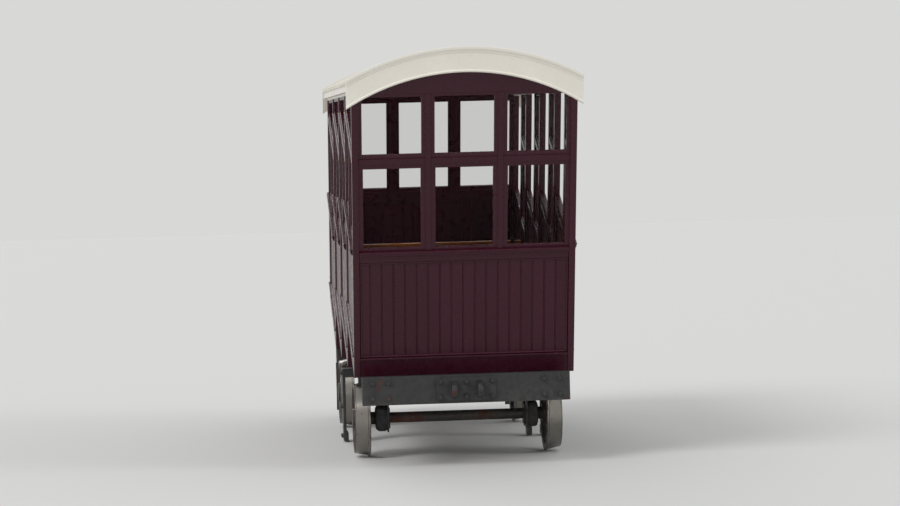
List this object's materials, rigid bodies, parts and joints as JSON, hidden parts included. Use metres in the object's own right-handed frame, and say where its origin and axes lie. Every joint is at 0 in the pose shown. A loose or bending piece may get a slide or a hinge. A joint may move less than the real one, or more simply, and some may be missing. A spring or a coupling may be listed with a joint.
{
  "type": "stepped funicular car",
  "caption": "Stepped wooden cliff-railway car with an arched roof parallel to the track, slatted benches, half doors and spoked flanged wheels.",
  "frame": {"origin": "middle of the car's overall length and width, at the bottom of the wheel flanges, on which it stands on a flat floor", "axes": "+X uphill along the track, towards the haul rope anchor; +Y to the left of the climb, the platform side with the doors; +Z square off the rails. Posts and end walls lean towards +X by 20 degrees, so they are plumb when the track climbs at 20 degrees."},
  "size_m": [6.0479, 1.78, 3.208],
  "materials": {
    "maroon_paint": "gloss oil paint on boards",
    "cream_paint": "gloss oil paint on boards",
    "roof_canvas": "painted canvas on roof boards",
    "floor_boards": "worn softwood boards",
    "seat_wood": "varnished hardwood slats",
    "frame_black": "black paint with dust and rust",
    "iron_casting": "painted casting",
    "spring_steel": "oiled, lightly rusted leaves",
    "wheel_steel": "bright tread, rusty spokes",
    "brass_fittings": "handled brass",
    "window_glass": "clear pane"
  },
  "bodies": {
    "car": {"sole_bars": "frame_black", "headstocks": "frame_black", "cross_members": "frame_black", "bearer_struts": "frame_black", "level_bearers": "frame_black", "floor_joists": "frame_black", "axle_guards": "frame_black", "rail_guards": "frame_black", "rail_brakes": "frame_black", "rope_anchor": "frame_black", "buffers": "frame_black", "axle_boxes": "iron_casting", "leaf_springs": "spring_steel", "bench_irons": "iron_casting", "floors": "floor_boards", "risers": "maroon_paint", "track_side_posts": "maroon_paint", "platform_side_posts": "maroon_paint", "track_side_rails": "maroon_paint", "platform_side_rails": "maroon_paint", "side_mullions": "maroon_paint", "cant_rails": "cream_paint", "track_side_panels": "maroon_paint", "platform_side_panels": "maroon_paint", "side_glass": "window_glass", "end_rails": "maroon_paint", "end_mullions": "maroon_paint", "end_panels": "maroon_paint", "end_glass": "window_glass", "roof_boards": "roof_canvas", "roof_fascias": "cream_paint", "roof_ribs": "cream_paint", "eaves_mouldings": "cream_paint", "waist_mouldings": "maroon_paint", "hinge_pins": "frame_black", "grab_handles": "brass_fittings", "seat_slats": "seat_wood", "back_slats": "seat_wood"},
    "door_1": {"door_1": "maroon_paint", "door_fittings_1": "brass_fittings"},
    "door_2": {"door_2": "maroon_paint", "door_fittings_2": "brass_fittings"},
    "door_3": {"door_3": "maroon_paint", "door_fittings_3": "brass_fittings"},
    "door_4": {"door_4": "maroon_paint", "door_fittings_4": "brass_fittings"},
    "lower_wheelset": {"axle_lower": "wheel_steel", "wheel_lower_track_side": "wheel_steel", "wheel_lower_platform_side": "wheel_steel"},
    "upper_wheelset": {"axle_upper": "wheel_steel", "wheel_upper_track_side": "wheel_steel", "wheel_upper_platform_side": "wheel_steel"}
  },
  "joints": [
    {"name": "door_1_hinge", "type": "hinge", "parent": "car", "child": "door_1", "pos_m": [-2.27801, 0.86, 1.60952], "axis": [0.342, 0, 0.9397], "range_deg": [0, 90]},
    {"name": "door_2_hinge", "type": "hinge", "parent": "car", "child": "door_2", "pos_m": [-1.10741, 0.86, 1.60952], "axis": [0.342, 0, 0.9397], "range_deg": [0, 90]},
    {"name": "door_3_hinge", "type": "hinge", "parent": "car", "child": "door_3", "pos_m": [0.06319, 0.86, 1.60952], "axis": [0.342, 0, 0.9397], "range_deg": [0, 90]},
    {"name": "door_4_hinge", "type": "hinge", "parent": "car", "child": "door_4", "pos_m": [1.23378, 0.86, 1.60952], "axis": [0.342, 0, 0.9397], "range_deg": [0, 90]},
    {"name": "lower_wheelset_spin", "type": "hinge", "parent": "car", "child": "lower_wheelset", "pos_m": [-1.66877, 0, 0.308], "axis": [0, 1, 0], "continuous": true},
    {"name": "upper_wheelset_spin", "type": "hinge", "parent": "car", "child": "upper_wheelset", "pos_m": [1.13123, 0, 0.308], "axis": [0, 1, 0], "continuous": true}
  ]
}
